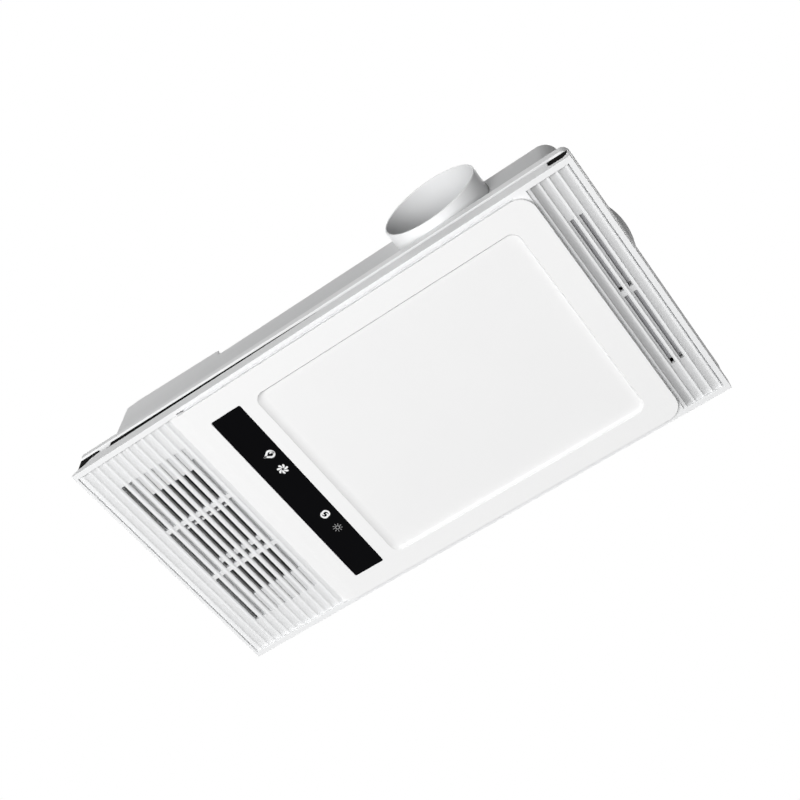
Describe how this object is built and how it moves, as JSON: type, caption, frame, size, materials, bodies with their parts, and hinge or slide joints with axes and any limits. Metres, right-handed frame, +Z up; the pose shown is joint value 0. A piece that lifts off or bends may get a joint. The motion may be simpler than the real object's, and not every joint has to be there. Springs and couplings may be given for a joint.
{
  "type": "bathroom ceiling heater",
  "caption": "Oblong recessed ceiling heater with ribbed air outlet and intake grilles, black touch strip, wide light panel, rounded metal body and a round side duct collar.",
  "frame": {"origin": "centre of the 600 x 300 mm module, in the plane where the mounting frame lies on the ceiling grid", "axes": "+Z up into the ceiling, +X from the display end to the intake end, -Y towards the duct collar; the face looks down (-Z)"},
  "size_m": [0.6, 0.308, 0.151],
  "materials": {
    "white_plastic": "satin white moulding",
    "cover_gloss": "glossy white moulding",
    "light_acrylic": "opal diffuser",
    "black_glass": "polished black",
    "painted_steel": "light grey paint",
    "zinc_steel": "zinc-plated sheet",
    "dark_plastic": "matt black moulding",
    "grey_plastic": "matt grey moulding",
    "aluminium": "bare fins",
    "bright_steel": "bright steel",
    "winding_steel": "laminations and windings",
    "green_board": "circuit board",
    "white_board": "white circuit board"
  },
  "bodies": {
    "main_unit": {"mounting_frame": "painted_steel", "main_housing": "painted_steel", "outlet_collar": "white_plastic", "scroll_housing": "dark_plastic", "inlet_ring": "white_plastic", "motor_case": "zinc_steel", "motor_stator": "winding_steel", "air_duct": "white_plastic", "damper_motor": "zinc_steel", "exhaust_baffle": "zinc_steel", "heater_hood": "zinc_steel", "heater_frame": "dark_plastic", "louvre_frame": "white_plastic", "vane_motor": "zinc_steel", "control_box": "grey_plastic", "control_box_lid": "grey_plastic", "run_capacitor": "dark_plastic", "terminal_block": "white_plastic", "cable_gland": "dark_plastic", "heating_element_1": "aluminium", "motor_screw_1": "bright_steel", "heating_element_2": "aluminium", "motor_screw_2": "bright_steel", "heating_element_3": "aluminium", "motor_screw_3": "bright_steel"},
    "face": {"face_panel": "white_plastic", "cover_plate": "cover_gloss", "light_diffuser": "light_acrylic", "light_tray": "zinc_steel", "led_board": "white_board", "led_driver": "white_plastic", "display_glass": "black_glass", "display_board": "green_board", "spring_clip_1": "bright_steel", "spring_clip_2": "bright_steel", "spring_clip_3": "bright_steel", "spring_clip_4": "bright_steel"},
    "fan_wheel": {"impeller": "dark_plastic", "motor_rotor": "bright_steel"},
    "damper": {"damper_flap": "white_plastic"},
    "flap_left": {"backflow_flap_left": "grey_plastic"},
    "flap_right": {"backflow_flap_right": "grey_plastic"},
    "vane_1": {"vane_1": "white_plastic"},
    "vane_2": {"vane_2": "white_plastic"},
    "vane_3": {"vane_3": "white_plastic"},
    "vane_4": {"vane_4": "white_plastic"},
    "vane_5": {"vane_5": "white_plastic"},
    "vane_6": {"vane_6": "white_plastic"},
    "vane_7": {"vane_7": "white_plastic"},
    "vane_8": {"vane_8": "white_plastic"},
    "vane_link": {"vane_link": "grey_plastic"}
  },
  "joints": [
    {"name": "panel_drop", "type": "slide", "parent": "main_unit", "child": "face", "axis": [0, 0, -1], "range_m": [0, 0.04]},
    {"name": "fan_spin", "type": "hinge", "parent": "main_unit", "child": "fan_wheel", "pos_m": [0.212, -0.009, 0.042], "axis": [0, 0, 1], "continuous": true},
    {"name": "damper_turn", "type": "hinge", "parent": "main_unit", "child": "damper", "pos_m": [0.0617, -0.0834, 0.042], "axis": [0, 0, 1], "range_deg": [0, 80]},
    {"name": "flap_left_swing", "type": "hinge", "parent": "main_unit", "child": "flap_left", "pos_m": [0.15, -0.108, 0.0726], "axis": [0, 0, 1], "range_deg": [0, 75], "stiffness_Nm_per_rad": 0.004, "springref_deg": -17.19},
    {"name": "flap_right_swing", "type": "hinge", "parent": "main_unit", "child": "flap_right", "pos_m": [0.15, -0.108, 0.0726], "axis": [0, 0, -1], "range_deg": [0, 75], "stiffness_Nm_per_rad": 0.004, "springref_deg": -17.19},
    {"name": "vane_1_swing", "type": "hinge", "parent": "main_unit", "child": "vane_1", "pos_m": [-0.25645, 0, 0.008], "axis": [0, 1, 0], "range_deg": [-45, 45]},
    {"name": "vane_2_swing", "type": "hinge", "parent": "main_unit", "child": "vane_2", "pos_m": [-0.24575, 0, 0.008], "axis": [0, 1, 0], "range_deg": [-45, 45]},
    {"name": "vane_3_swing", "type": "hinge", "parent": "main_unit", "child": "vane_3", "pos_m": [-0.23505, 0, 0.008], "axis": [0, 1, 0], "range_deg": [-45, 45]},
    {"name": "vane_4_swing", "type": "hinge", "parent": "main_unit", "child": "vane_4", "pos_m": [-0.22435, 0, 0.008], "axis": [0, 1, 0], "range_deg": [-45, 45]},
    {"name": "vane_5_swing", "type": "hinge", "parent": "main_unit", "child": "vane_5", "pos_m": [-0.21365, 0, 0.008], "axis": [0, 1, 0], "range_deg": [-45, 45]},
    {"name": "vane_6_swing", "type": "hinge", "parent": "main_unit", "child": "vane_6", "pos_m": [-0.20295, 0, 0.008], "axis": [0, 1, 0], "range_deg": [-45, 45]},
    {"name": "vane_7_swing", "type": "hinge", "parent": "main_unit", "child": "vane_7", "pos_m": [-0.19225, 0, 0.008], "axis": [0, 1, 0], "range_deg": [-45, 45]},
    {"name": "vane_8_swing", "type": "hinge", "parent": "main_unit", "child": "vane_8", "pos_m": [-0.18155, 0, 0.008], "axis": [0, 1, 0], "range_deg": [-45, 45]},
    {"name": "link_turn", "type": "hinge", "parent": "vane_1", "child": "vane_link", "pos_m": [-0.25645, -0.0879, 0.013], "axis": [0, 1, 0], "range_deg": [-45, 45]}
  ],
  "couplings": [
    {"joint": "vane_2_swing", "follows": "vane_1_swing", "ratio": 1},
    {"joint": "vane_3_swing", "follows": "vane_1_swing", "ratio": 1},
    {"joint": "vane_4_swing", "follows": "vane_1_swing", "ratio": 1},
    {"joint": "vane_5_swing", "follows": "vane_1_swing", "ratio": 1},
    {"joint": "vane_6_swing", "follows": "vane_1_swing", "ratio": 1},
    {"joint": "vane_7_swing", "follows": "vane_1_swing", "ratio": 1},
    {"joint": "vane_8_swing", "follows": "vane_1_swing", "ratio": 1},
    {"joint": "link_turn", "follows": "vane_1_swing", "ratio": -1}
  ]
}
